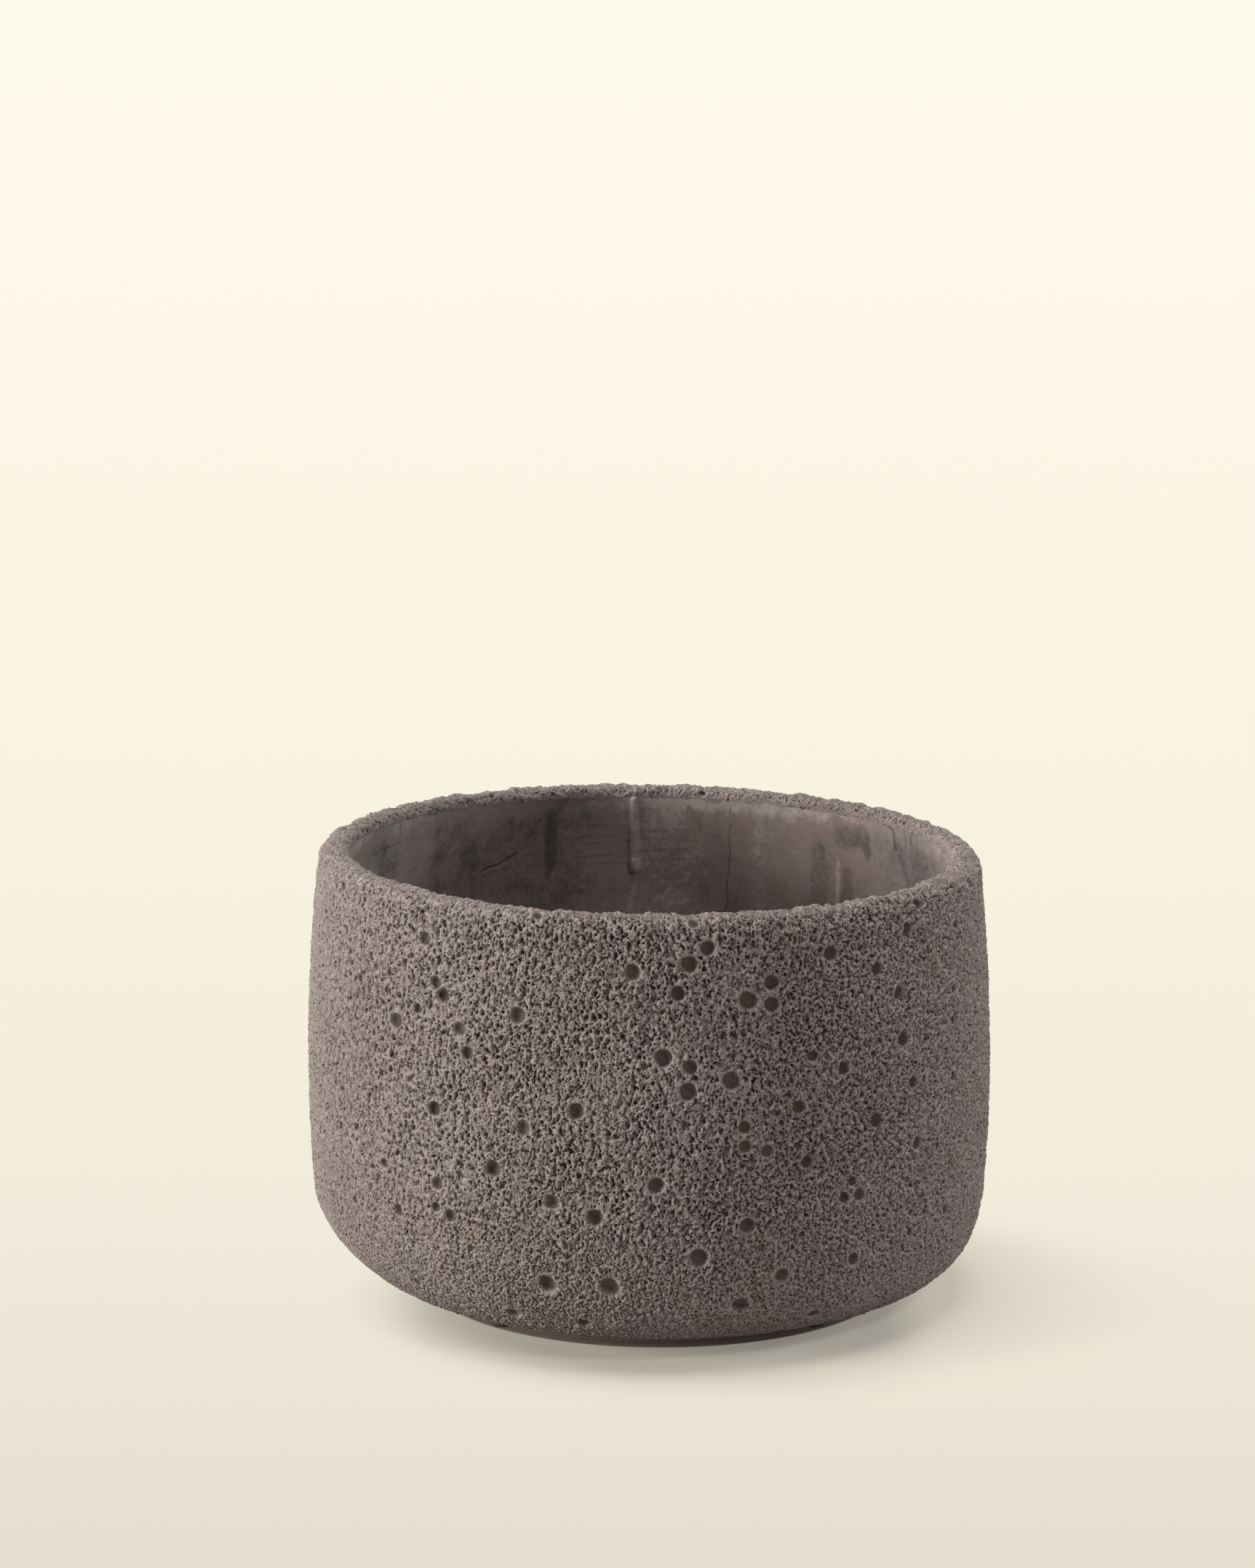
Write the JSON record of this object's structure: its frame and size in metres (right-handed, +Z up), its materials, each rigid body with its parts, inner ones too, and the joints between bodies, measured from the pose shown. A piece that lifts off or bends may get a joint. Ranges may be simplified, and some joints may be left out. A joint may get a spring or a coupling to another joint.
{
  "type": "planter",
  "caption": "Round bowl planter of fired clay with a pitted pumice-like outer coat, smooth inside, bevelled foot, drain hole with a pull-out rubber plug and felt pads.",
  "frame": {"origin": "middle of the planter, on the surface that it stands on", "axes": "+Z is up, along the pot's axis; the picture looks along +Y, with +X to the right"},
  "size_m": [0.289, 0.289, 0.19],
  "materials": {
    "fired_clay": "smooth matt inside, darker on the bare foot",
    "rough_slip": "matt, pitted all over, with small craters",
    "plug_rubber": "matt",
    "felt": "pressed felt"
  },
  "bodies": {
    "pot": {"pot_shell": "fired_clay", "rough_coat": "rough_slip", "foot_pad_1": "felt", "foot_pad_2": "felt", "foot_pad_3": "felt", "foot_pad_4": "felt"},
    "plug": {"drain_plug": "plug_rubber"}
  },
  "joints": [
    {"name": "plug_pull", "type": "slide", "parent": "pot", "child": "plug", "axis": [0, 0, 1], "range_m": [0, 0.03]}
  ]
}
